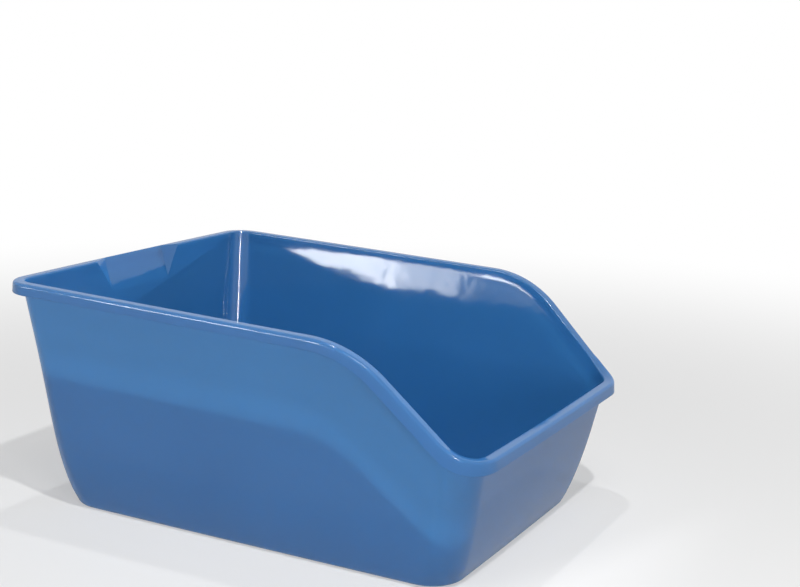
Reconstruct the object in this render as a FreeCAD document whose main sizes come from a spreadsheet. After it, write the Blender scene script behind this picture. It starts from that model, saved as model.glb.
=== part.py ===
import FreeCAD, Part
import math
import os
import re
import Sketcher

# High-sided litter box: one moulded tub. Millimetres, +Z up, +X to the low entrance end.
# The origin is on the floor, under the middle of the rim's outline.

os.makedirs("parts", exist_ok=True)
doc = FreeCAD.newDocument("litter_box")
Vector = FreeCAD.Vector
UP = Vector(0, 0, 1)

# Driving dimensions. A reach is the distance from the origin to the middle of an end wall.
DIMENSIONS = {
    "rim_half_width": 182.7,
    "rim_high_reach": 232.6,
    "rim_low_reach": 232.6,
    "base_half_width": 141.9,
    "base_high_reach": 210.9,
    "base_low_reach": 201.0,
    "foot_tuck": 6.8,
    "knee_height": 60,
    "base_high_corner": 31,
    "rim_high_corner": 19.5,
    "low_corner": 31.5,
    "side_bow": 31000,
    "end_bow": 12000,
    "base_edge": 8.4,
    "wall_thickness": 2.5,
    "floor_thickness": 2.5,
    "inside_edge": 6,
    "bend_height": 215.2,
    "bend_place": 127.1,
    "bend_radius": 107,
    "low_rim_height": 125,
    "blend_radius": 44.6,
    "high_rim_fall": 1.6,
    "slope_angle": 43.1,
    "rim_overhang": 8.3,
    "lip_height": 10.8,
    "lip_thickness": 2.4,
    "lip_flare": 4,
    "rim_outer_edge": 3,
    "rim_inner_edge": 1.6,
    "rim_sheet": 2.5,
    "wall_top_drop": 1.6,
    "inner_edge_reach": 0.3,
    "lip_spare": 1,
    "grip_drop": 20.6,
    "grip_depth": 7.5,
    "grip_rise": 30.6,
    "grip_half_width": 46,
    "grip_flare": 2.7,
    "foot_band": 24,
    "foot_rise": 1.5,
}

# Heights worked out from them. The forms rise past the rim's highest point before it trims them.
FORM_TOP = "(bend_height + 2 * (bend_place + rim_high_reach) * tan(high_rim_fall * 1 deg))"
GRIP_BOTTOM = "(bend_height - grip_drop)"

sheet = doc.addObject("Spreadsheet::Sheet", "Sizes")
for row, (alias, value) in enumerate(DIMENSIONS.items(), start=1):
    sheet.set(f"A{row}", alias)
    sheet.set(f"B{row}", str(value))
    sheet.setAlias(f"B{row}", alias)
doc.recompute()


def number(expression):
    """The value of an expression written in the sheet's names."""
    return float(sheet.evalExpression(expression))


def bound(expression):
    """The same expression as another object of the document has to write it."""
    return re.sub(r"[a-z_]+", lambda word: "Sizes." + word[0] if word[0] in DIMENSIONS else word[0], expression)


def constrain(sketch, name, kind, *places, expression):
    """Adds a named dimension to a sketch and binds it to the sheet."""
    index = sketch.addConstraint(Sketcher.Constraint(kind, *places, number(expression)))
    sketch.renameConstraint(index, name)
    sketch.setExpression(f".Constraints.{name}", bound(expression))


def origin_plane(body, role):
    return next(feature for feature in body.Origin.OriginFeatures if feature.Role == role)


def level_sketch(body, name, height):
    """An empty sketch of the body, lying flat at a height."""
    sketch = body.newObject("Sketcher::SketchObject", name)
    sketch.AttachmentSupport = [(origin_plane(body, "XY_Plane"), "")]
    sketch.MapMode = "FlatFace"
    sketch.setExpression(".AttachmentOffset.Base.z", bound(height))
    return sketch


# Plan outline of the tub at any height

def reach(rim, base, level, height):
    """A wall leans evenly from base to rim and tucks in a little below the knee."""
    lean = f"({rim} - {base} - foot_tuck) / {level}"
    tuck = f"foot_tuck * max(0; 1 - ({height}) / knee_height)"
    return f"{rim} - {lean} * ({level} - ({height})) - {tuck}"


def plan(height, offset):
    """Expressions for the outline at a height, moved outwards by offset."""
    corner_change = "(rim_high_corner - base_high_corner) / bend_height"
    return {
        "half_width": reach("rim_half_width", "base_half_width", "bend_height", height) + f" + {offset}",
        "high_reach": reach("rim_high_reach", "base_high_reach", "bend_height", height) + f" + {offset}",
        "low_reach": reach("rim_low_reach", "base_low_reach", "low_rim_height", height) + f" + {offset}",
        "high_corner": f"base_high_corner + {corner_change} * ({height}) + {offset}",
        "low_corner": f"low_corner + {offset}",
        "side_bow": f"side_bow + {offset}",
        "end_bow": f"end_bow + {offset}",
    }


def corner_centre(first, first_radius, second, second_radius, radius, along_x):
    """Centre of a corner arc that touches two bowed sides from inside, on the +Y side."""
    span = second - first
    first_gap = first_radius - radius
    second_gap = second_radius - radius
    along = (first_gap ** 2 - second_gap ** 2 + span.Length ** 2) / (2 * span.Length)
    across = math.sqrt(first_gap ** 2 - along ** 2)
    direction = Vector(span).normalize()
    foot = first + direction * along
    normal = Vector(-direction.y, direction.x, 0) * across
    return max(foot + normal, foot - normal, key=lambda point: point.x * along_x + point.y)


def draw_outline(sketch, height, offset):
    """Closes four bowed sides and four corners with tangent arcs, and ties them to the sheet."""
    words = plan(height, offset)
    near = {name: number(expression) for name, expression in words.items()}
    side = Vector(0, near["half_width"] - near["side_bow"], 0)
    low = Vector(near["low_reach"] - near["end_bow"], 0, 0)
    high = Vector(near["end_bow"] - near["high_reach"], 0, 0)
    low_corner = corner_centre(side, near["side_bow"], low, near["end_bow"], near["low_corner"], 1)
    high_corner = corner_centre(side, near["side_bow"], high, near["end_bow"], near["high_corner"], -1)

    def bearing(start, end):
        return math.atan2(end.y - start.y, end.x - start.x)

    low_end = bearing(low, low_corner)
    low_side = bearing(side, low_corner)
    high_side = bearing(side, high_corner)
    high_end = bearing(high, high_corner)
    turns = [-low_end, low_end, low_side, high_side, high_end]
    turns += [2 * math.pi - high_end, 2 * math.pi - high_side, 2 * math.pi - low_side, 2 * math.pi - low_end]

    def mirrored(point):
        return Vector(point.x, -point.y, 0)

    centres = [low, low_corner, side, high_corner, high, mirrored(high_corner), mirrored(side), mirrored(low_corner)]
    radii = ["end_bow", "low_corner", "side_bow", "high_corner", "end_bow", "high_corner", "side_bow", "low_corner"]
    for index, (centre, radius) in enumerate(zip(centres, radii)):
        circle = Part.Circle(centre, UP, near[radius])
        sketch.addGeometry(Part.ArcOfCircle(circle, turns[index], turns[index + 1]), False)
    for index in range(8):
        sketch.addConstraint(Sketcher.Constraint("Tangent", index, 2, (index + 1) % 8, 1))
    sketch.addConstraint(Sketcher.Constraint("PointOnObject", 0, 3, -1))
    sketch.addConstraint(Sketcher.Constraint("PointOnObject", 4, 3, -1))
    sketch.addConstraint(Sketcher.Constraint("PointOnObject", 2, 3, -2))
    sketch.addConstraint(Sketcher.Constraint("Symmetric", 2, 3, 6, 3, -1))
    for index, radius in enumerate(radii):
        constrain(sketch, f"radius_{index}", "Radius", index, expression=words[radius])
    low_place = f"{words['low_reach']} - ({words['end_bow']})"
    high_place = f"{words['end_bow']} - ({words['high_reach']})"
    side_place = f"{words['half_width']} - ({words['side_bow']})"
    constrain(sketch, "low_place", "DistanceX", -1, 1, 0, 3, expression=low_place)
    constrain(sketch, "high_place", "DistanceX", -1, 1, 4, 3, expression=high_place)
    constrain(sketch, "side_place", "DistanceY", -1, 1, 2, 3, expression=side_place)


def add_form(body, name, lowest, offset):
    """Lofts the outline down through five heights, the last of them the knee and the floor."""
    sketches = []
    heights = [FORM_TOP, f"{FORM_TOP} * 3 / 4", f"{FORM_TOP} / 2", "knee_height", lowest]
    for place, height in enumerate(heights, start=1):
        sketch = level_sketch(body, f"{name}_outline_{place}", height)
        draw_outline(sketch, height, offset)
        sketches.append(sketch)
    form = body.newObject("PartDesign::AdditiveLoft", name)
    form.Profile = sketches[0]
    form.Sections = sketches[1:]
    doc.recompute()
    return form


def round_bottom(body, form, radius):
    """Fillets the lowest edges of a form."""
    floor_height = form.Shape.BoundBox.ZMin
    names = []
    for index, edge in enumerate(form.Shape.Edges, start=1):
        if edge.BoundBox.ZMax < floor_height + 0.01:
            names.append(f"Edge{index}")
    fillet = body.newObject("PartDesign::Fillet", f"{form.Name}_edge")
    fillet.Base = (form, names)
    fillet.setExpression("Radius", bound(radius))
    doc.recompute()
    return fillet


# Side view of the rim: high run, bend, slope and low run

def rim_region(name, drop, above):
    """The space above or below the rim line, which is first moved squarely down by drop."""
    sketch = doc.addObject("Sketcher::SketchObject", f"{name}_line")
    sketch.Placement = FreeCAD.Placement(Vector(0, 0, 0), FreeCAD.Rotation(Vector(1, 0, 0), 90))
    half_length = "2 * rim_high_reach"
    edge_height = "2 * bend_height" if above else "-bend_height"
    corner_x = f"bend_place - ({drop}) * tan(slope_angle * 1 deg / 2)"
    corner_y = f"bend_height - ({drop})"
    low_y = f"low_rim_height - ({drop})"
    bend_radius = f"bend_radius - ({drop})"
    blend_radius = f"blend_radius + ({drop})"

    fall = math.radians(number("high_rim_fall"))
    slope = math.radians(number("slope_angle"))
    bend = Vector(number(corner_x), number(corner_y), 0)
    start = Vector(-number(half_length), bend.y + (bend.x + number(half_length)) * math.tan(fall), 0)
    foot = Vector(bend.x + (bend.y - number(low_y)) / math.tan(slope), number(low_y), 0)
    end = Vector(number(half_length), number(low_y), 0)
    along_high = Vector(math.cos(fall), -math.sin(fall), 0)
    along_slope = Vector(math.cos(slope), -math.sin(slope), 0)

    bend_run = number(bend_radius) * math.tan((slope - fall) / 2)
    bend_start = bend - along_high * bend_run
    bend_end = bend + along_slope * bend_run
    bend_centre = bend_start - Vector(math.sin(fall), math.cos(fall), 0) * number(bend_radius)
    blend_run = number(blend_radius) * math.tan(slope / 2)
    blend_start = foot - along_slope * blend_run
    blend_end = foot + Vector(blend_run, 0, 0)
    blend_centre = blend_end + Vector(0, number(blend_radius), 0)
    quarter = math.pi / 2

    bend_circle = Part.Circle(bend_centre, UP, number(bend_radius))
    blend_circle = Part.Circle(blend_centre, UP, number(blend_radius))
    far_corner = Vector(end.x, number(edge_height), 0)
    near_corner = Vector(start.x, number(edge_height), 0)
    sketch.addGeometry([
        Part.LineSegment(start, bend_start),
        Part.ArcOfCircle(bend_circle, quarter - slope, quarter - fall),
        Part.LineSegment(bend_end, blend_start),
        Part.ArcOfCircle(blend_circle, 3 * quarter - slope, 3 * quarter),
        Part.LineSegment(blend_end, end),
        Part.LineSegment(end, far_corner),
        Part.LineSegment(far_corner, near_corner),
        Part.LineSegment(near_corner, start),
        Part.Point(bend),
    ], False)
    sketch.setConstruction(8, True)
    for first, first_end, second, second_end in ((0, 2, 1, 2), (1, 1, 2, 1), (2, 2, 3, 1), (3, 2, 4, 1)):
        sketch.addConstraint(Sketcher.Constraint("Tangent", first, first_end, second, second_end))
    for first, second in ((4, 5), (5, 6), (6, 7), (7, 0)):
        sketch.addConstraint(Sketcher.Constraint("Coincident", first, 2, second, 1))
    for line in (5, 7):
        sketch.addConstraint(Sketcher.Constraint("Vertical", line))
    sketch.addConstraint(Sketcher.Constraint("Horizontal", 4))
    sketch.addConstraint(Sketcher.Constraint("Horizontal", 6))
    sketch.addConstraint(Sketcher.Constraint("PointOnObject", 8, 1, 0))
    sketch.addConstraint(Sketcher.Constraint("PointOnObject", 8, 1, 2))
    constrain(sketch, "corner_x", "DistanceX", -1, 1, 8, 1, expression=corner_x)
    constrain(sketch, "corner_y", "DistanceY", -1, 1, 8, 1, expression=corner_y)
    constrain(sketch, "low_y", "DistanceY", -1, 1, 4, 1, expression=low_y)
    constrain(sketch, "start_x", "DistanceX", 0, 1, -1, 1, expression=half_length)
    constrain(sketch, "end_x", "DistanceX", -1, 1, 4, 2, expression=half_length)
    constrain(sketch, "edge_y", "DistanceY", -1, 1, 6, 1, expression=edge_height)
    constrain(sketch, "bend", "Radius", 1, expression=bend_radius)
    constrain(sketch, "blend", "Radius", 3, expression=blend_radius)
    constrain(sketch, "fall", "Angle", 0, expression="-high_rim_fall * 1 deg")
    constrain(sketch, "slope", "Angle", 2, expression="-slope_angle * 1 deg")

    region = doc.addObject("Part::Extrusion", name)
    region.Base = sketch
    region.DirMode = "Normal"
    region.Symmetric = True
    region.Solid = True
    region.setExpression("LengthFwd", bound("4 * rim_half_width"))
    doc.recompute()
    return region


def cut(name, base, tool):
    """base less tool."""
    result = doc.addObject("Part::Cut", name)
    result.Base = base
    result.Tool = tool
    doc.recompute()
    return result


# Turned-over rim: one section carried round the top of the walls

def rim_path(form, above_rim):
    """The line where the walls' outer face meets the rim's height, as one closed wire."""
    trimmed = form.Shape.cut(above_rim.Shape)
    tops = [face for face in trimmed.Faces if above_rim.Shape.distToShape(face)[0] < 1e-6]
    tops = [face for face in tops if face.normalAt(*middle(face)).z > 0.5]
    edges = []
    for face in tops:
        for edge in face.Edges:
            shared = sum(1 for other in tops for candidate in other.Edges if candidate.isSame(edge))
            if shared == 1:
                edges.append(edge)
    return Part.Wire(Part.__sortEdges__(edges))


def middle(face):
    low_u, high_u, low_v, high_v = face.ParameterRange
    return (low_u + high_u) / 2, (low_v + high_v) / 2


def rim_section(place, outwards):
    """Flat top, two rounded edges, hanging lip and open underside, seen along the rim."""
    overhang = number("rim_overhang")
    sheet_thickness = number("rim_sheet")
    outer_edge = number("rim_outer_edge")
    inner_edge = number("rim_inner_edge")
    skirt = number("lip_height / cos(slope_angle * 1 deg) + lip_spare")
    flare = math.tan(math.radians(number("lip_flare")))
    lip = number("lip_thickness")
    inside_face = -number("wall_thickness + inner_edge_reach")
    spare_end = -2 * number("wall_thickness")

    def at(out, up):
        return place + outwards * out + UP * up

    def quarter(top_out, side_out, radius):
        half_turn = radius * (1 - math.cos(math.pi / 4))
        side = math.copysign(half_turn, top_out - side_out)
        return Part.Arc(at(top_out, 0), at(side_out + side, -half_turn), at(side_out, -radius)).toShape()

    foot = overhang + flare * (skirt - outer_edge)
    corners = [
        at(overhang, -outer_edge),
        at(foot, -skirt),
        at(foot - lip, -skirt),
        at(overhang - lip, -sheet_thickness),
        at(spare_end, -sheet_thickness),
        at(spare_end, -inner_edge),
        at(inside_face, -inner_edge),
    ]
    outer_round = quarter(overhang - outer_edge, overhang, outer_edge)
    inner_round = quarter(inside_face + inner_edge, inside_face, inner_edge)
    top = Part.makeLine(at(inside_face + inner_edge, 0), at(overhang - outer_edge, 0))
    lines = [Part.makeLine(corners[i], corners[i + 1]) for i in range(len(corners) - 1)]
    return Part.Wire([outer_round] + lines + [inner_round, top])


def swept_rim(path):
    """Carries the section round the closed path and keeps it upright."""
    start = path.OrderedVertexes[0].Point
    first = path.OrderedEdges[0]
    along = first.tangentAt(first.Curve.parameter(start))
    outwards = Vector(along.y, -along.x, 0).normalize()
    if outwards.dot(start) < 0:
        outwards = -outwards
    sweep = Part.BRepOffsetAPI.MakePipeShell(path)
    sweep.setBiNormalMode(UP)
    sweep.setTransitionMode(1)
    sweep.add(rim_section(start, outwards), False, False)
    sweep.build()
    sweep.makeSolid()
    return sweep.shape()


# Grip in the middle of the high end: a sloping face between two flared cheeks

def add_grip(body, name, outset, top):
    """A wedge that leans out faster than the wall. outset moves its outer face and cheeks out."""
    inner_face = reach("rim_high_reach", "base_high_reach", "bend_height", GRIP_BOTTOM) + " - wall_thickness"
    wall_lean = "(rim_high_reach - base_high_reach - foot_tuck) / bend_height"
    lean = f"(grip_depth / grip_rise + {wall_lean})"
    front = f"{inner_face} - wall_thickness * 4"
    low = f"{GRIP_BOTTOM} - grip_drop / 2"
    sketches = []
    for place, height in (("bottom", low), ("top", top)):
        sketch = level_sketch(body, f"{name}_{place}", height)
        back = f"{inner_face} + {lean} * ({height} - {GRIP_BOTTOM}) + {outset}"
        half = f"grip_half_width + {outset}"
        front_half = f"{half} + grip_flare * ({back} - ({front}))"
        back_x = -number(back)
        front_x = -number(front)
        corners = [
            Vector(back_x, -number(half), 0),
            Vector(front_x, -number(front_half), 0),
            Vector(front_x, number(front_half), 0),
            Vector(back_x, number(half), 0),
        ]
        for index in range(4):
            sketch.addGeometry(Part.LineSegment(corners[index], corners[(index + 1) % 4]), False)
        for index in range(4):
            sketch.addConstraint(Sketcher.Constraint("Coincident", index, 2, (index + 1) % 4, 1))
        sketch.addConstraint(Sketcher.Constraint("Symmetric", 0, 1, 2, 2, -1))
        sketch.addConstraint(Sketcher.Constraint("Symmetric", 0, 2, 1, 2, -1))
        constrain(sketch, "back", "DistanceX", 3, 1, -1, 1, expression=back)
        constrain(sketch, "front", "DistanceX", 1, 1, -1, 1, expression=front)
        constrain(sketch, "half", "DistanceY", -1, 1, 3, 1, expression=half)
        constrain(sketch, "front_half", "DistanceY", -1, 1, 2, 1, expression=front_half)
        sketches.append(sketch)
    wedge = body.newObject("PartDesign::AdditiveLoft", name)
    wedge.Profile = sketches[0]
    wedge.Sections = sketches[1:]
    wedge.Ruled = True
    doc.recompute()
    return wedge


walls = doc.addObject("PartDesign::Body", "walls")
wall_form = add_form(walls, "wall_form", "0", "0")
round_bottom(walls, wall_form, "base_edge")
add_grip(walls, "grip_back", "wall_thickness", FORM_TOP)

rim_top = rim_region("rim_top", "0", True)
wall_top = rim_region("wall_top", "wall_top_drop", True)
below_lip = rim_region("below_lip", "lip_height", False)

rim = doc.addObject("Part::Feature", "rim")
rim.Shape = swept_rim(rim_path(wall_form, rim_top))
rim_trimmed = cut("rim_trimmed", rim, below_lip)
walls_trimmed = cut("walls_trimmed", walls, wall_top)

solid = doc.addObject("Part::Fuse", "solid_form")
solid.Base = walls_trimmed
solid.Tool = rim_trimmed
doc.recompute()

inside = doc.addObject("PartDesign::Body", "inside")
inside_form = add_form(inside, "inside_form", "foot_rise + floor_thickness", "-wall_thickness")
round_bottom(inside, inside_form, "inside_edge")
hollowed = cut("hollowed", solid, inside)

grip = doc.addObject("PartDesign::Body", "grip")
add_grip(grip, "grip_face", "0", FORM_TOP)
gripped = cut("gripped", hollowed, grip)

foot = doc.addObject("PartDesign::Body", "foot_panel")
panel_sketch = level_sketch(foot, "foot_panel_outline", "0")
draw_outline(panel_sketch, "0", "-foot_band")
panel = foot.newObject("PartDesign::Pad", "foot_panel_pad")
panel.Profile = panel_sketch
panel.setExpression("Length", bound("foot_rise"))
doc.recompute()

tub = cut("tub", gripped, foot)
tub.Label = "tub"

# Nothing is written unless every object of the document is sound
for item in doc.Objects:
    if "Invalid" in item.State or "Error" in item.State:
        raise RuntimeError(f"{item.Name} did not build: {item.State}")
    shape = getattr(item, "Shape", None)
    if shape is not None and item.TypeId.startswith("Part") and (shape.isNull() or not shape.isValid()):
        raise RuntimeError(f"{item.Name} has no valid shape")
if len(tub.Shape.Solids) != 1:
    raise RuntimeError(f"the tub came out as {len(tub.Shape.Solids)} solids")
tub.Shape.exportStep(os.path.join("parts", "tub.step"))
print("tub", round(tub.Shape.Volume), tub.Shape.BoundBox)
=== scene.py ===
import math

import bpy
from mathutils import Matrix, Vector


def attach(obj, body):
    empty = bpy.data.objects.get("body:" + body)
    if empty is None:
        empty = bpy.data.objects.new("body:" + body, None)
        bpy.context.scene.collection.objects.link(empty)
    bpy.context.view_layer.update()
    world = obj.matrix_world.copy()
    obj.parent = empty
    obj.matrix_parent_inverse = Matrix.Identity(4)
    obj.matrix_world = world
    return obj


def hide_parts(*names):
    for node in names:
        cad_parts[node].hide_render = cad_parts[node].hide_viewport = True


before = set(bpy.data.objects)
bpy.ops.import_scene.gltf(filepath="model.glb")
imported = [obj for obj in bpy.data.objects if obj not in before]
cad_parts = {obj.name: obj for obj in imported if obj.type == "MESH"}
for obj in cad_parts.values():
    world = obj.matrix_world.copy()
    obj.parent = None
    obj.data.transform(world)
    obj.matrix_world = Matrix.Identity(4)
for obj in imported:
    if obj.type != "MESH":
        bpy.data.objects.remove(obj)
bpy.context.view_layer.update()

# Camera, from the photograph's perspective
CAMERA_PLACE = Vector((0.6799, -1.1639, 0.4899))
CAMERA_YAW = math.radians(27.50)
CAMERA_PITCH = math.radians(11.66)
CAMERA_ROLL = math.radians(1.74)
LENS = 64.38

# Tub sizes in metres, the same as the CAD solid's. A reach runs from the origin to a wall's
# middle.
RIM_HALF_WIDTH = 0.1827
RIM_REACH = 0.2326
BASE_HALF_WIDTH = 0.1419
BASE_HIGH_REACH = 0.2109
BASE_LOW_REACH = 0.2010
FOOT_TUCK = 0.0068
KNEE_HEIGHT = 0.060
BASE_HIGH_CORNER = 0.0310
RIM_HIGH_CORNER = 0.0195
LOW_CORNER = 0.0315
SIDE_BOW = 31.0
END_BOW = 12.0
BASE_EDGE = 0.0084
WALL = 0.0025
FLOOR_TOP = 0.0040
INSIDE_EDGE = 0.006
BEND_HEIGHT = 0.2152
BEND_PLACE = 0.1271
BEND_RADIUS = 0.107
LOW_RIM_HEIGHT = 0.125
BLEND_RADIUS = 0.0446
HIGH_FALL = math.radians(1.6)
SLOPE = math.radians(43.1)
OVERHANG = 0.0083
LIP_HEIGHT = 0.0108
LIP_THICKNESS = 0.0024
LIP_FLARE = math.radians(4)
LIP_EDGE = 0.0008
RIM_OUTER_EDGE = 0.003
RIM_INNER_EDGE = 0.0016
RIM_SHEET = 0.0025
FOOT_BAND = 0.024
FOOT_RISE = 0.0015
FORM_TOP = 0.2353
GRIP_DROP = 0.0206
GRIP_DEPTH = 0.0075
GRIP_RISE = 0.0306
GRIP_HALF_WIDTH = 0.046
GRIP_FLARE = 2.7
GRIP_BOTTOM = BEND_HEIGHT - GRIP_DROP
BULGE_DROP = 0.0045

# Extra lean of a wall at its foot, where it tucks in
FOOT_LEAN = 2 * FOOT_TUCK / KNEE_HEIGHT

# Small rounds under the rim's sheet, beside the wall and beside the lip, as ways out and up
WALL_ROUND = ((0, -0.0012), (0.0004, -0.0003), (0.0012, 0))
LIP_ROUND = ((-0.001, 0), (-0.0002, -0.0004), (0, -0.0012))

# Where the rows beside an edge lie, so that flat faces stay flat up to it
LIP_INSIDE_MARGIN = 0.0015
LIP_OUTSIDE_MARGIN = 0.0018
OUTER_EDGE_MARGIN = 0.0010
TOP_MARGIN = 0.0008
FLOOR_MARGIN = 0.002
FOOT_BAND_MARGIN = 0.003
FOOT_BAND_LEAN = 0.0006

# Mesh steps: along each end wall, side wall and corner, up a wall, and round each edge
END_STEPS = 36
SIDE_STEPS = 72
CORNER_STEPS = 20
WALL_STEPS = 18
FOOT_STEPS = 8
LIP_STEPS = 6
OUTER_EDGE_STEPS = 8
INNER_EDGE_STEPS = 6

# Passes in which the rim's line settles on the leaning walls
RIM_PASSES = 8
MERGE_DISTANCE = 0.00001
SMOOTH_ANGLE = math.radians(18)

# Colours, linear
BLUE = (0.030, 0.156, 0.405, 1.0)
DEEP_BLUE = (0.025, 0.126, 0.335, 1.0)
GLOW_BLUE = (0.34, 0.72, 0.97, 1.0)
FLOOR_WHITE = (0.60, 0.60, 0.60, 1.0)
WHITE = (1.0, 1.0, 1.0, 1.0)

# Plastic. Its index is higher than such plastic's own, because the light that the wall lets
# through takes shine away.
PLASTIC_INDEX = 1.65
SMOOTHEST = 0.05
ROUGHEST = 0.10
THROUGH_SHARE = 0.30

# Noise as scale and detail, for the colour's clouds and the gloss
CLOUD_NOISE = (9, 4)
GLOSS_NOISE = (60, 3)

# Unevenness of the plastic's face, as noise scales and depths in metres: slow waves, sink
# marks and orange peel
WAVES = ((12, 0.0006), (36, 0.00022), (700, 0.000002))
WAVE_DETAIL = 2

# Floor: radius and sides of the disc, and where and how far it fades into the white
FLOOR_RADIUS = 8
FLOOR_SIDES = 96
FLOOR_ROUGHNESS = 0.9
FADE_START = 0.35
FADE_END = 1.6
FADE_NEAR = 0.45
FADE_FAR = 1.0

# Room light by direction: dim in front of the box and brighter behind it
ROOM_FRONT = 0.25
ROOM_BACK = 0.75
ROOM_DIM = 0.02
ROOM_BRIGHT = 0.35

# Lamps: name, place, the point that it faces, width and height, power in watts
LOW_AIM = (0, 0, 0.1)
HIGH_AIM = (0, 0, 0.2)
LAMPS = (
    ("key", (0.76, -0.72, 1.69), LOW_AIM, (0.06, 0.06), 27),
    ("top_lamp", (-0.16, 0.10, 2.30), LOW_AIM, (0.08, 0.08), 12),
    ("edge_card", (0.54, -1.00, 1.74), LOW_AIM, (0.50, 0.50), 5),
    ("window", (-1.70, -2.5, 0.36), HIGH_AIM, (0.50, 0.50), 14),
    ("window_side", (-1.36, -2.6, 0.36), HIGH_AIM, (0.22, 0.50), 3.0),
    ("low_strip", (-1.04, -2.5, 0.21), HIGH_AIM, (0.20, 0.40), 5),
    ("left_card", (-2.45, -2.4, 0.36), HIGH_AIM, (0.50, 0.50), 7),
    ("front_card", (-0.75, -2.8, 0.40), HIGH_AIM, (0.74, 0.50), 0.6),
    ("side_strip", (2.05, -1.60, 0.50), HIGH_AIM, (0.07, 0.90), 18),
    ("side_card", (1.85, -1.85, 0.40), HIGH_AIM, (0.22, 0.60), 1.4),
)

# Back lamp. Its doors run along the rim between two places each, a little under its top.
BACK_LAMP_PLACE = (0.432, 3.83, 1.143)
BACK_LAMP_AIM = (0, -0.169, 0.13)
BACK_LAMP_POWER = 700
BACK_LAMP_SIZE = 0.02
BACK_LAMP_CONE = math.radians(12)
BACK_LAMP_BLEND = 0.5
BACK_LAMP_MARGIN = 0.006
BACK_LAMP_DOORS = ((-RIM_REACH, 0.09), (0.15, 0.20))


# Plan outline of the tub

def wall_lean(rim, base, level):
    """How far out a wall leans for each metre up."""
    return (rim - base - FOOT_TUCK) / level


def reach(rim, base, level, height):
    """A wall leans evenly from base to rim, and its foot tucks in along a smooth curve.

    The curve gives the full tuck at the foot and none at one, two, three and four knee heights.
    """
    lean = wall_lean(rim, base, level)
    knees = height / KNEE_HEIGHT
    tuck = FOOT_TUCK * (1 - knees) * (2 - knees) * (3 - knees) * (4 - knees) / 24
    return rim - lean * (level - height) - tuck


def arc_centres(height, offset):
    """Centres and radii on the +Y side: low end, low corner, side, high corner, high end."""
    half_width = reach(RIM_HALF_WIDTH, BASE_HALF_WIDTH, BEND_HEIGHT, height) + offset
    high = reach(RIM_REACH, BASE_HIGH_REACH, BEND_HEIGHT, height) + offset
    low = reach(RIM_REACH, BASE_LOW_REACH, LOW_RIM_HEIGHT, height) + offset
    corner_growth = RIM_HIGH_CORNER - BASE_HIGH_CORNER
    high_radius = BASE_HIGH_CORNER + corner_growth * height / BEND_HEIGHT + offset
    low_radius = LOW_CORNER + offset
    side_radius = SIDE_BOW + offset
    end_radius = END_BOW + offset
    low_centre = Vector((low - end_radius, 0))
    high_centre = Vector((end_radius - high, 0))
    side_centre = Vector((0, half_width - side_radius))
    low_corner = corner_centre(side_centre, side_radius, low_centre, end_radius, low_radius, 1)
    high_corner = corner_centre(side_centre, side_radius, high_centre, end_radius, high_radius, -1)
    return [
        (low_centre, end_radius),
        (low_corner, low_radius),
        (side_centre, side_radius),
        (high_corner, high_radius),
        (high_centre, end_radius),
    ]


def corner_centre(first, first_radius, second, second_radius, radius, along_x):
    """Centre of a corner arc that touches two bowed walls from inside."""
    span = second - first
    first_gap = first_radius - radius
    second_gap = second_radius - radius
    along = (first_gap ** 2 - second_gap ** 2 + span.length_squared) / (2 * span.length)
    across = math.sqrt(first_gap ** 2 - along ** 2)
    direction = span.normalized()
    foot = first + direction * along
    normal = Vector((-direction.y, direction.x)) * across
    return max(foot + normal, foot - normal, key=lambda point: point.x * along_x + point.y)


def outline(height, offset):
    """Points round the tub at one height, against the clock from the middle of the low end."""
    arcs = arc_centres(height, offset)
    low_end, low_corner, side, high_corner, high_end = (centre for centre, _ in arcs)
    meetings = (
        (low_end, low_corner),
        (side, low_corner),
        (side, high_corner),
        (high_end, high_corner),
    )
    turns = [0.0]
    for centre, corner in meetings:
        turns.append(math.atan2(corner.y - centre.y, corner.x - centre.x))
    turns.append(math.pi)
    half = []
    steps = [END_STEPS // 2, CORNER_STEPS, SIDE_STEPS, CORNER_STEPS, END_STEPS // 2]
    for (centre, radius), start, end, count in zip(arcs, turns, turns[1:], steps):
        for step in range(count):
            turn = start + (end - start) * step / count
            half.append(centre + Vector((math.cos(turn), math.sin(turn))) * radius)
    last_centre, last_radius = arcs[4]
    half.append(Vector((last_centre.x - last_radius, 0)))
    mirrored = [Vector((point.x, -point.y)) for point in reversed(half[1:-1])]
    return half + mirrored


def rim_height(x, drop):
    """Height of the rim line at x, after the line is moved squarely down by drop."""
    corner_x = BEND_PLACE - drop * math.tan(SLOPE / 2)
    corner_z = BEND_HEIGHT - drop
    low_z = LOW_RIM_HEIGHT - drop
    bend_radius = BEND_RADIUS - drop
    blend_radius = BLEND_RADIUS + drop
    bend_run = bend_radius * math.tan((SLOPE - HIGH_FALL) / 2)
    bend_start = corner_x - bend_run * math.cos(HIGH_FALL)
    bend_end = corner_x + bend_run * math.cos(SLOPE)
    foot_x = corner_x + (corner_z - low_z) / math.tan(SLOPE)
    blend_run = blend_radius * math.tan(SLOPE / 2)
    blend_start = foot_x - blend_run * math.cos(SLOPE)
    blend_end = foot_x + blend_run
    if x < bend_start:
        return corner_z + (corner_x - x) * math.tan(HIGH_FALL)
    if x < bend_end:
        centre_x = bend_start - bend_radius * math.sin(HIGH_FALL)
        centre_z = corner_z + bend_run * math.sin(HIGH_FALL) - bend_radius * math.cos(HIGH_FALL)
        return centre_z + math.sqrt(bend_radius ** 2 - (x - centre_x) ** 2)
    if x < blend_start:
        return corner_z - (x - corner_x) * math.tan(SLOPE)
    if x < blend_end:
        return low_z + blend_radius - math.sqrt(blend_radius ** 2 - (x - blend_end) ** 2)
    return low_z


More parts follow.
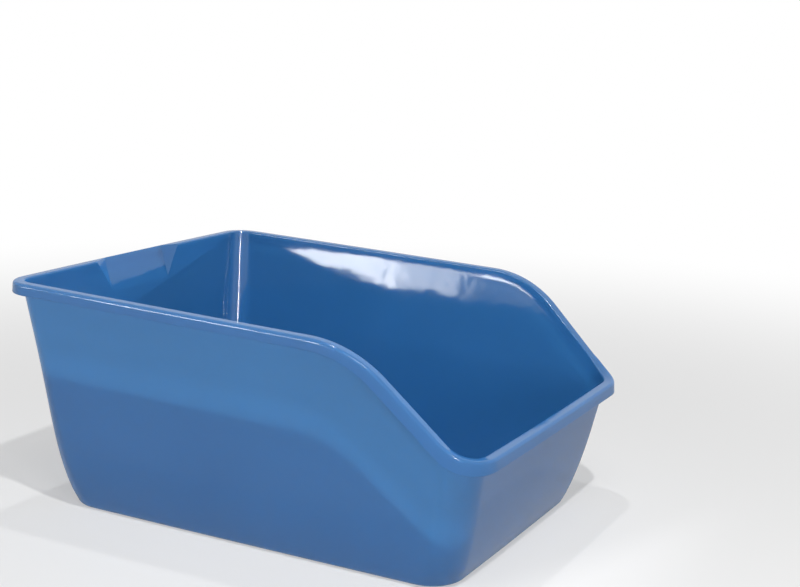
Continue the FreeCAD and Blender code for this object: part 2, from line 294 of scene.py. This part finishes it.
def rim_path():
    """Where the walls' outer face meets the rim line, and the level way outwards there."""
    heights = [BEND_HEIGHT] * len(outline(0, 0))
    for _ in range(RIM_PASSES):
        levels = sorted(set(round(height, 5) for height in heights))
        rings = {level: outline(level, 0) for level in levels}
        points = [rings[round(height, 5)][index] for index, height in enumerate(heights)]
        heights = [rim_height(point.x, 0) for point in points]
    path = [Vector((point.x, point.y, height)) for point, height in zip(points, heights)]
    outwards = []
    for index in range(len(path)):
        along = path[(index + 1) % len(path)] - path[index - 1]
        outwards.append(Vector((along.y, -along.x, 0)).normalized())
    return path, outwards


# Rows of the tub's skin, from under the floor, up the outside, over the rim and down the inside

def level_row(height, offset):
    return [Vector((point.x, point.y, height)) for point in outline(height, offset)]


def rounded_foot(offset, height, radius):
    """Rows of the round between the floor and a wall that leans by the foot's angle."""
    lean = math.atan(wall_lean(RIM_HALF_WIDTH, BASE_HALF_WIDTH, BEND_HEIGHT) + FOOT_LEAN)
    centre = -radius * (1 - math.sin(lean)) / math.cos(lean)
    rows = []
    for step in range(FOOT_STEPS + 1):
        turn = -math.pi / 2 + (math.pi / 2 - lean) * step / FOOT_STEPS
        out = centre + radius * math.cos(turn)
        up = radius + radius * math.sin(turn)
        ring = outline(height, offset + out)
        rows.append([Vector((point.x, point.y, height + up)) for point in ring])
    return rows


def wall_rows(top_row, low_height, offset):
    """Rows of a wall from just above its foot to just under its uneven top."""
    rows = []
    for step in range(1, WALL_STEPS + 1):
        share = step / (WALL_STEPS + 1)
        row = []
        rings = {}
        for index, top in enumerate(top_row):
            height = low_height + (top.z - low_height) * share
            level = round(height, 4)
            if level not in rings:
                rings[level] = outline(level, offset)
            point = rings[level][index]
            row.append(Vector((point.x, point.y, level)))
        rows.append(row)
    return rows


def rim_rows():
    """Rows over the rim: under its sheet, down inside the lip, round its foot, up and across."""
    path, outwards = rim_path()

    def ring(out, up):
        return [
            point + outward * out + Vector((0, 0, up))
            for point, outward in zip(path, outwards)
        ]

    def lip(out_from_face, above_foot):
        row = []
        for point, outward in zip(path, outwards):
            foot = rim_height((point + outward * OVERHANG).x, LIP_HEIGHT)
            height = foot + above_foot
            depth = point.z - height
            flare = math.tan(LIP_FLARE) * max(0, depth - RIM_OUTER_EDGE)
            out = OVERHANG + flare - out_from_face
            place = point + outward * out
            row.append(Vector((place.x, place.y, height)))
        return row

    rows = [ring(out, -RIM_SHEET + up) for out, up in WALL_ROUND]
    rows += [ring(OVERHANG - LIP_THICKNESS + out, -RIM_SHEET + up) for out, up in LIP_ROUND]
    rows += [lip(LIP_THICKNESS, LIP_INSIDE_MARGIN), lip(LIP_THICKNESS, LIP_EDGE)]
    for step in range(1, LIP_STEPS):
        turn = math.pi / 2 * step / LIP_STEPS
        out = LIP_THICKNESS - LIP_EDGE * (1 - math.cos(turn))
        rows.append(lip(out, LIP_EDGE * (1 - math.sin(turn))))
    rows += [lip(LIP_THICKNESS - LIP_EDGE, 0), lip(LIP_EDGE, 0)]
    for step in range(1, LIP_STEPS):
        turn = math.pi / 2 * step / LIP_STEPS
        rows.append(lip(LIP_EDGE * (1 - math.sin(turn)), LIP_EDGE * (1 - math.cos(turn))))
    rows += [lip(0, LIP_EDGE), lip(0, LIP_OUTSIDE_MARGIN)]

    edge_flare = math.tan(LIP_FLARE) * OUTER_EDGE_MARGIN
    rows += [ring(OVERHANG + edge_flare, -RIM_OUTER_EDGE - OUTER_EDGE_MARGIN)]
    for step in range(OUTER_EDGE_STEPS + 1):
        turn = math.pi / 2 * step / OUTER_EDGE_STEPS
        out = OVERHANG - RIM_OUTER_EDGE * (1 - math.cos(turn))
        rows.append(ring(out, -RIM_OUTER_EDGE * (1 - math.sin(turn))))
    rows += [ring(OVERHANG - RIM_OUTER_EDGE - TOP_MARGIN, 0)]

    lean = wall_lean(RIM_HALF_WIDTH, BASE_HALF_WIDTH, BEND_HEIGHT)
    centre = -WALL - lean * RIM_INNER_EDGE + RIM_INNER_EDGE
    rows += [ring(centre + TOP_MARGIN, 0)]
    for step in range(INNER_EDGE_STEPS + 1):
        turn = (math.pi / 2 + math.atan(lean)) * step / INNER_EDGE_STEPS
        out = centre - RIM_INNER_EDGE * math.sin(turn)
        rows.append(ring(out, -RIM_INNER_EDGE * (1 - math.cos(turn))))
    return rows


def add_tub():
    """Lays a grid along the rows, closes it round the tub and fills the two floors."""
    path_rows = rim_rows()
    foot = rounded_foot(0, 0, BASE_EDGE)
    inside = rounded_foot(-WALL, FLOOR_TOP, INSIDE_EDGE)
    rows = [
        level_row(FOOT_RISE, -FOOT_BAND - FOOT_BAND_MARGIN),
        level_row(FOOT_RISE, -FOOT_BAND),
        level_row(0, -FOOT_BAND + FOOT_BAND_LEAN),
        level_row(0, -BASE_EDGE - FLOOR_MARGIN),
    ]
    rows += foot
    rows += wall_rows(path_rows[0], foot[-1][0].z, 0)
    rows += path_rows
    rows += reversed(wall_rows(path_rows[-1], inside[-1][0].z, -WALL))
    rows += reversed(inside)
    rows += [level_row(FLOOR_TOP, -WALL - INSIDE_EDGE - FLOOR_MARGIN)]

    around = len(rows[0])
    bpy.ops.object.select_all(action="DESELECT")
    bpy.ops.mesh.primitive_grid_add(
        x_subdivisions=around, y_subdivisions=len(rows) - 1, size=1
    )
    tub = bpy.context.object
    tub.name = "tub_shell"
    places = []
    for row in rows:
        for point in row + row[:1]:
            places.extend(point)
    tub.data.vertices.foreach_set("co", places)
    tub.data.update()
    bpy.ops.object.mode_set(mode="EDIT")
    bpy.ops.mesh.select_all(action="SELECT")
    bpy.ops.mesh.remove_doubles(threshold=MERGE_DISTANCE)
    bpy.ops.mesh.select_all(action="DESELECT")
    bpy.ops.mesh.select_non_manifold()
    bpy.ops.mesh.edge_face_add()
    bpy.ops.mesh.select_all(action="SELECT")
    bpy.ops.mesh.normals_make_consistent(inside=False)
    bpy.ops.object.mode_set(mode="OBJECT")
    return tub


def grip_wedge(name, low, top, into_wall, outset):
    """A block across the high end under its rim.

    Its back leans out faster than the wall, and its cheeks flare. Outset moves both outwards.
    """
    inner_face = reach(RIM_REACH, BASE_HIGH_REACH, BEND_HEIGHT, GRIP_BOTTOM) - WALL
    lean = wall_lean(RIM_REACH, BASE_HIGH_REACH, BEND_HEIGHT)
    back_lean = lean + GRIP_DEPTH / GRIP_RISE
    bpy.ops.object.select_all(action="DESELECT")
    bpy.ops.mesh.primitive_cube_add(size=2)
    wedge = bpy.context.object
    wedge.name = name
    for corner in wedge.data.vertices:
        height = top if corner.co.z > 0 else low
        back = inner_face + back_lean * (height - GRIP_BOTTOM) + outset
        front = inner_face + lean * (height - GRIP_BOTTOM) + into_wall
        at_back = corner.co.x < 0
        flare = 0 if at_back else GRIP_FLARE * (back - front)
        half_width = GRIP_HALF_WIDTH + outset + flare
        corner.co = Vector((-back if at_back else -front, half_width * corner.co.y, height))
    return wedge


def combine(tub, tool, operation):
    """Joins a block to the tub or cuts it out, and deletes the block."""
    bpy.ops.object.select_all(action="DESELECT")
    tub.select_set(True)
    bpy.context.view_layer.objects.active = tub
    boolean = tub.modifiers.new(operation.lower(), "BOOLEAN")
    boolean.object = tool
    boolean.operation = operation
    boolean.solver = "EXACT"
    bpy.ops.object.modifier_apply(modifier=boolean.name)
    bpy.data.objects.remove(tool)


def add_grip(tub):
    """Joins the bulge behind the wall to the tub, then cuts the recess for the fingers."""
    sheet_middle = rim_height(-RIM_REACH, RIM_SHEET / 2)
    bulge = grip_wedge("grip_back", GRIP_BOTTOM - BULGE_DROP, sheet_middle, WALL / 2, WALL)
    combine(tub, bulge, "UNION")
    recess_low = GRIP_BOTTOM - GRIP_DROP / 2
    recess = grip_wedge("grip_face", recess_low, FORM_TOP, -4 * WALL, 0)
    combine(tub, recess, "DIFFERENCE")


def add_camera():
    bpy.ops.object.camera_add(location=CAMERA_PLACE)
    camera = bpy.context.object
    camera.name = "camera"
    turn = Matrix.Rotation(CAMERA_YAW, 4, "Z")
    tilt = Matrix.Rotation(math.pi / 2 - CAMERA_PITCH, 4, "X")
    roll = Matrix.Rotation(CAMERA_ROLL, 4, "Z")
    camera.rotation_euler = (turn @ tilt @ roll).to_euler()
    camera.data.lens = LENS
    camera.data.clip_start = 0.05
    camera.data.clip_end = 30
    bpy.context.scene.camera = camera


def add_lamp(name, place, target, size, power):
    """A rectangular lamp that faces a point."""
    bpy.ops.object.light_add(type="AREA", location=place)
    lamp = bpy.context.object
    lamp.name = name
    lamp.data.shape = "RECTANGLE"
    lamp.data.size = size[0]
    lamp.data.size_y = size[1]
    lamp.data.energy = power
    lamp.rotation_euler = (Vector(target) - Vector(place)).to_track_quat("-Z", "Y").to_euler()


def rim_side_point(x):
    """A point just under the top of the +Y side's rim."""
    return Vector((x, RIM_HALF_WIDTH + OVERHANG, rim_height(x, BACK_LAMP_MARGIN)))


def add_back_lamp():
    """A narrow lamp over the far rim that shines through the thin near wall from inside.

    Two barn doors, one along the rim's high part and one along its slope, keep it off the
    far wall's outside. Gloss doesn't show it.
    """
    bpy.ops.object.light_add(type="SPOT", location=BACK_LAMP_PLACE)
    lamp = bpy.context.object
    lamp.name = "back_lamp"
    lamp.data.energy = BACK_LAMP_POWER
    lamp.data.shadow_soft_size = BACK_LAMP_SIZE
    lamp.data.spot_size = BACK_LAMP_CONE
    lamp.data.spot_blend = BACK_LAMP_BLEND
    lamp.visible_glossy = False
    start = Vector(BACK_LAMP_PLACE)
    turn = (Vector(BACK_LAMP_AIM) - start).to_track_quat("-Z", "Y")
    lamp.rotation_euler = turn.to_euler()

    lamp.data.use_nodes = True
    nodes = lamp.data.node_tree.nodes
    links = lamp.data.node_tree.links
    ray = nodes.new("ShaderNodeTexCoord")
    opening = nodes.new("ShaderNodeMath")
    opening.operation = "MAXIMUM"
    for index, (first, last) in enumerate(BACK_LAMP_DOORS):
        edge = rim_side_point(last) - rim_side_point(first)
        upward = edge.cross(rim_side_point(first) - start).normalized()
        door = nodes.new("ShaderNodeVectorMath")
        door.operation = "DOT_PRODUCT"
        door.inputs[1].default_value = turn.inverted() @ upward
        # The ray's direction is given back towards the lamp
        above = nodes.new("ShaderNodeMath")
        above.operation = "LESS_THAN"
        above.inputs[1].default_value = 0
        links.new(ray.outputs["Normal"], door.inputs[0])
        links.new(door.outputs["Value"], above.inputs[0])
        links.new(above.outputs["Value"], opening.inputs[index])
    links.new(opening.outputs["Value"], nodes["Emission"].inputs["Strength"])


def new_material(name):
    material = bpy.data.materials.new(name)
    material.use_nodes = True
    return material, material.node_tree.nodes, material.node_tree.links


def tub_plastic():
    """Gloss moulded plastic, a little uneven in colour and gloss, with the waves of a thin wall."""
    material, nodes, links = new_material("tub_plastic")
    surface = nodes["Principled BSDF"]
    surface.inputs["IOR"].default_value = PLASTIC_INDEX
    place = nodes.new("ShaderNodeTexCoord")

    def noise(scale, detail):
        texture = nodes.new("ShaderNodeTexNoise")
        texture.inputs["Scale"].default_value = scale
        texture.inputs["Detail"].default_value = detail
        links.new(place.outputs["Object"], texture.inputs["Vector"])
        return texture.outputs["Fac"]

    clouds = nodes.new("ShaderNodeMix")
    clouds.data_type = "RGBA"
    clouds.inputs["A"].default_value = DEEP_BLUE
    clouds.inputs["B"].default_value = BLUE
    links.new(noise(*CLOUD_NOISE), clouds.inputs["Factor"])
    links.new(clouds.outputs["Result"], surface.inputs["Base Color"])

    gloss = nodes.new("ShaderNodeMapRange")
    gloss.inputs["To Min"].default_value = SMOOTHEST
    gloss.inputs["To Max"].default_value = ROUGHEST
    links.new(noise(*GLOSS_NOISE), gloss.inputs["Value"])
    links.new(gloss.outputs["Result"], surface.inputs["Roughness"])

    height = None
    for scale, depth in WAVES:
        wave = nodes.new("ShaderNodeMath")
        wave.operation = "MULTIPLY_ADD"
        wave.inputs[1].default_value = depth
        wave.inputs[2].default_value = 0
        links.new(noise(scale, WAVE_DETAIL), wave.inputs[0])
        if height is not None:
            links.new(height, wave.inputs[2])
        height = wave.outputs["Value"]
    unevenness = nodes.new("ShaderNodeBump")
    unevenness.inputs["Strength"].default_value = 1.0
    unevenness.inputs["Distance"].default_value = 1.0
    links.new(height, unevenness.inputs["Height"])
    links.new(unevenness.outputs["Normal"], surface.inputs["Normal"])

    # The wall is thin enough to let some light through
    through = nodes.new("ShaderNodeBsdfTranslucent")
    through.inputs["Color"].default_value = GLOW_BLUE
    wall = nodes.new("ShaderNodeMixShader")
    wall.inputs["Fac"].default_value = THROUGH_SHARE
    links.new(surface.outputs["BSDF"], wall.inputs[1])
    links.new(through.outputs["BSDF"], wall.inputs[2])
    links.new(wall.outputs["Shader"], nodes["Material Output"].inputs["Surface"])
    return material


def shows_background(nodes, links):
    """1 for a ray from the camera, off gloss or through glass, and 0 for one that carries light.

    Light through the thin wall is spread, so its rays count as carrying light.
    """
    path = nodes.new("ShaderNodeLightPath")
    clear = nodes.new("ShaderNodeMath")
    clear.operation = "SUBTRACT"
    clear.use_clamp = True
    links.new(path.outputs["Is Transmission Ray"], clear.inputs[0])
    links.new(path.outputs["Is Diffuse Ray"], clear.inputs[1])
    seen = clear.outputs["Value"]
    for ray in ("Is Camera Ray", "Is Glossy Ray"):
        either = nodes.new("ShaderNodeMath")
        either.operation = "MAXIMUM"
        links.new(seen, either.inputs[0])
        links.new(path.outputs[ray], either.inputs[1])
        seen = either.outputs["Value"]
    return seen


def floor_white():
    """Matt white that fades into the white background away from the box."""
    material, nodes, links = new_material("floor_white")
    surface = nodes["Principled BSDF"]
    surface.inputs["Base Color"].default_value = FLOOR_WHITE
    surface.inputs["Roughness"].default_value = FLOOR_ROUGHNESS
    glow = nodes.new("ShaderNodeEmission")
    glow.inputs["Color"].default_value = WHITE
    place = nodes.new("ShaderNodeTexCoord")
    distance = nodes.new("ShaderNodeVectorMath")
    distance.operation = "LENGTH"
    fade = nodes.new("ShaderNodeMapRange")
    fade.interpolation_type = "SMOOTHSTEP"
    fade.inputs["From Min"].default_value = FADE_START
    fade.inputs["From Max"].default_value = FADE_END
    fade.inputs["To Min"].default_value = FADE_NEAR
    fade.inputs["To Max"].default_value = FADE_FAR
    shown = nodes.new("ShaderNodeMath")
    shown.operation = "MULTIPLY"
    mix = nodes.new("ShaderNodeMixShader")
    links.new(place.outputs["Object"], distance.inputs[0])
    links.new(distance.outputs["Value"], fade.inputs["Value"])
    links.new(fade.outputs["Result"], shown.inputs[0])
    links.new(shows_background(nodes, links), shown.inputs[1])
    links.new(shown.outputs["Value"], mix.inputs["Fac"])
    links.new(surface.outputs["BSDF"], mix.inputs[1])
    links.new(glow.outputs["Emission"], mix.inputs[2])
    links.new(mix.outputs["Shader"], nodes["Material Output"].inputs["Surface"])
    return material


def add_floor():
    bpy.ops.object.select_all(action="DESELECT")
    bpy.ops.mesh.primitive_circle_add(
        vertices=FLOOR_SIDES, radius=FLOOR_RADIUS, fill_type="NGON", location=(0, 0, 0)
    )
    floor = bpy.context.object
    floor.name = "floor"
    floor.data.materials.append(floor_white())


def add_world():
    world = bpy.data.worlds.new("studio")
    bpy.context.scene.world = world
    world.use_nodes = True
    nodes = world.node_tree.nodes
    links = world.node_tree.links
    direction = nodes.new("ShaderNodeTexCoord")
    parts = nodes.new("ShaderNodeSeparateXYZ")
    wall = nodes.new("ShaderNodeMapRange")
    wall.interpolation_type = "SMOOTHSTEP"
    wall.inputs["From Min"].default_value = ROOM_FRONT
    wall.inputs["From Max"].default_value = ROOM_BACK
    wall.inputs["To Min"].default_value = ROOM_DIM
    wall.inputs["To Max"].default_value = ROOM_BRIGHT
    links.new(direction.outputs["Generated"], parts.inputs["Vector"])
    links.new(parts.outputs["Y"], wall.inputs["Value"])
    room = nodes["Background"]
    room.inputs["Color"].default_value = WHITE
    links.new(wall.outputs["Result"], room.inputs["Strength"])
    white = nodes.new("ShaderNodeBackground")
    white.inputs["Color"].default_value = WHITE
    white.inputs["Strength"].default_value = 1.0
    mix = nodes.new("ShaderNodeMixShader")
    links.new(shows_background(nodes, links), mix.inputs["Fac"])
    links.new(room.outputs["Background"], mix.inputs[1])
    links.new(white.outputs["Background"], mix.inputs[2])
    links.new(mix.outputs["Shader"], nodes["World Output"].inputs["Surface"])


bpy.context.scene.view_settings.view_transform = "Standard"
add_camera()
add_world()
add_floor()
for lamp_name, place, aim, size, power in LAMPS:
    add_lamp(lamp_name, place, aim, size, power)
add_back_lamp()

plastic = tub_plastic()
tub = add_tub()
add_grip(tub)
tub.data.materials.clear()
tub.data.materials.append(plastic)
bpy.ops.object.shade_smooth_by_angle(angle=SMOOTH_ANGLE)
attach(tub, "root")
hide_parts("tub")
